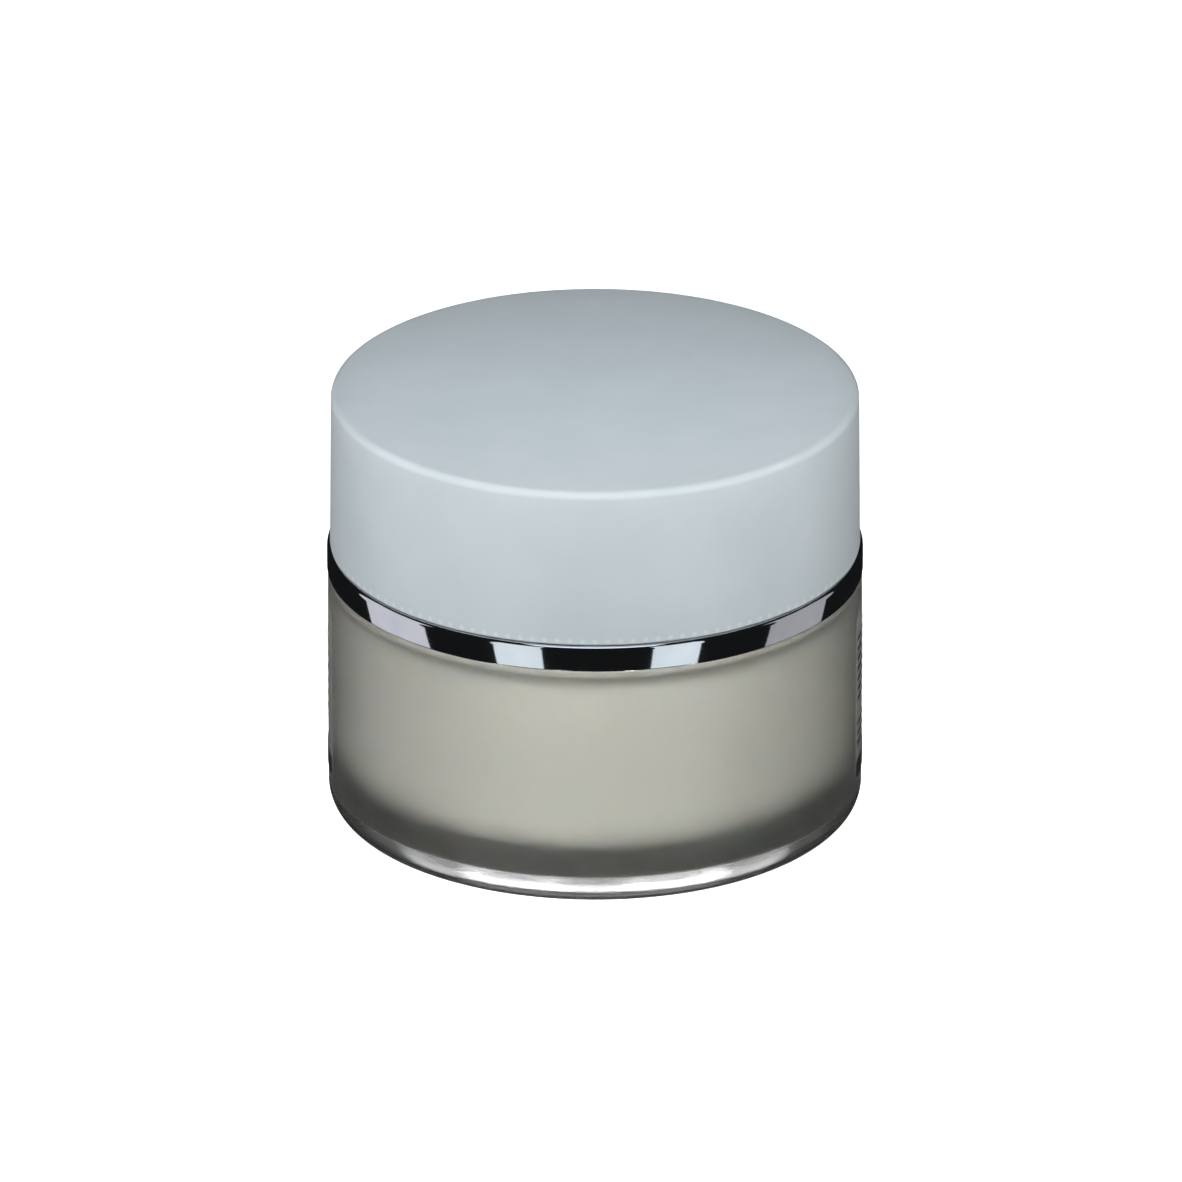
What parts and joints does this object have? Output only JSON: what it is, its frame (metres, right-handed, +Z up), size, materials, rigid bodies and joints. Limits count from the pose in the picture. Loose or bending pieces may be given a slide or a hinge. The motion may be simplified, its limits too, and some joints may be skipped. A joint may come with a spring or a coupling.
{
  "type": "cosmetic cream jar",
  "caption": "Frosted glass cosmetic cream jar with a thick base, a screw lid with a bright trim ring, a sealing disc with a pull tab, and the cream.",
  "frame": {"origin": "centre of the base, on the surface that the jar stands on", "axes": "+Z up along the jar's axis; the unlabelled front faces -Y and the label is centred on the back, near +Y"},
  "size_m": [0.0612, 0.0612, 0.0512],
  "materials": {
    "frosted_glass": "acid-etched, satin, faint grey-green",
    "cream": "soft glossy emulsion, warm white",
    "label_film": "clear polypropylene film with dark print",
    "disc_plastic": "natural white polypropylene, moulded",
    "liner_foam": "closed-cell foam sheet",
    "cap_plastic": "white polypropylene, moulded",
    "trim_metal": "mirror-bright vacuum metallised",
    "frosted_shell": "frosted translucent, pale blue-grey"
  },
  "bodies": {
    "jar": {"glass_jar": "frosted_glass", "cream": "cream", "back_label": "label_film"},
    "liner": {"cap_liner": "liner_foam"},
    "lid": {"outer_cap": "frosted_shell", "inner_cap": "cap_plastic", "trim_ring": "trim_metal"},
    "disc": {"sealing_disc": "disc_plastic"},
    "tab": {"pull_tab": "disc_plastic"}
  },
  "joints": [
    {"name": "lid_lift", "type": "slide", "parent": "jar", "child": "liner", "axis": [0, 0, 1], "range_m": [0, 0.024]},
    {"name": "lid_turn", "type": "hinge", "parent": "liner", "child": "lid", "pos_m": [0, 0, 0.04], "axis": [0, 0, 1], "range_deg": [0, 1440]},
    {"name": "disc_lift", "type": "slide", "parent": "jar", "child": "disc", "axis": [0, 0, 1], "range_m": [0, 0.008]},
    {"name": "tab_turn", "type": "hinge", "parent": "disc", "child": "tab", "pos_m": [0, 0.005, 0.0392], "axis": [-1, 0, 0], "range_deg": [0, 70]}
  ],
  "couplings": [
    {"joint": "lid_lift", "follows": "lid_turn", "m_per_rad": 0.0009549},
    {"joint": "disc_lift", "follows": "lid_turn", "m_per_rad": 0.0003183},
    {"joint": "tab_turn", "follows": "lid_turn", "ratio": 0.0486}
  ]
}
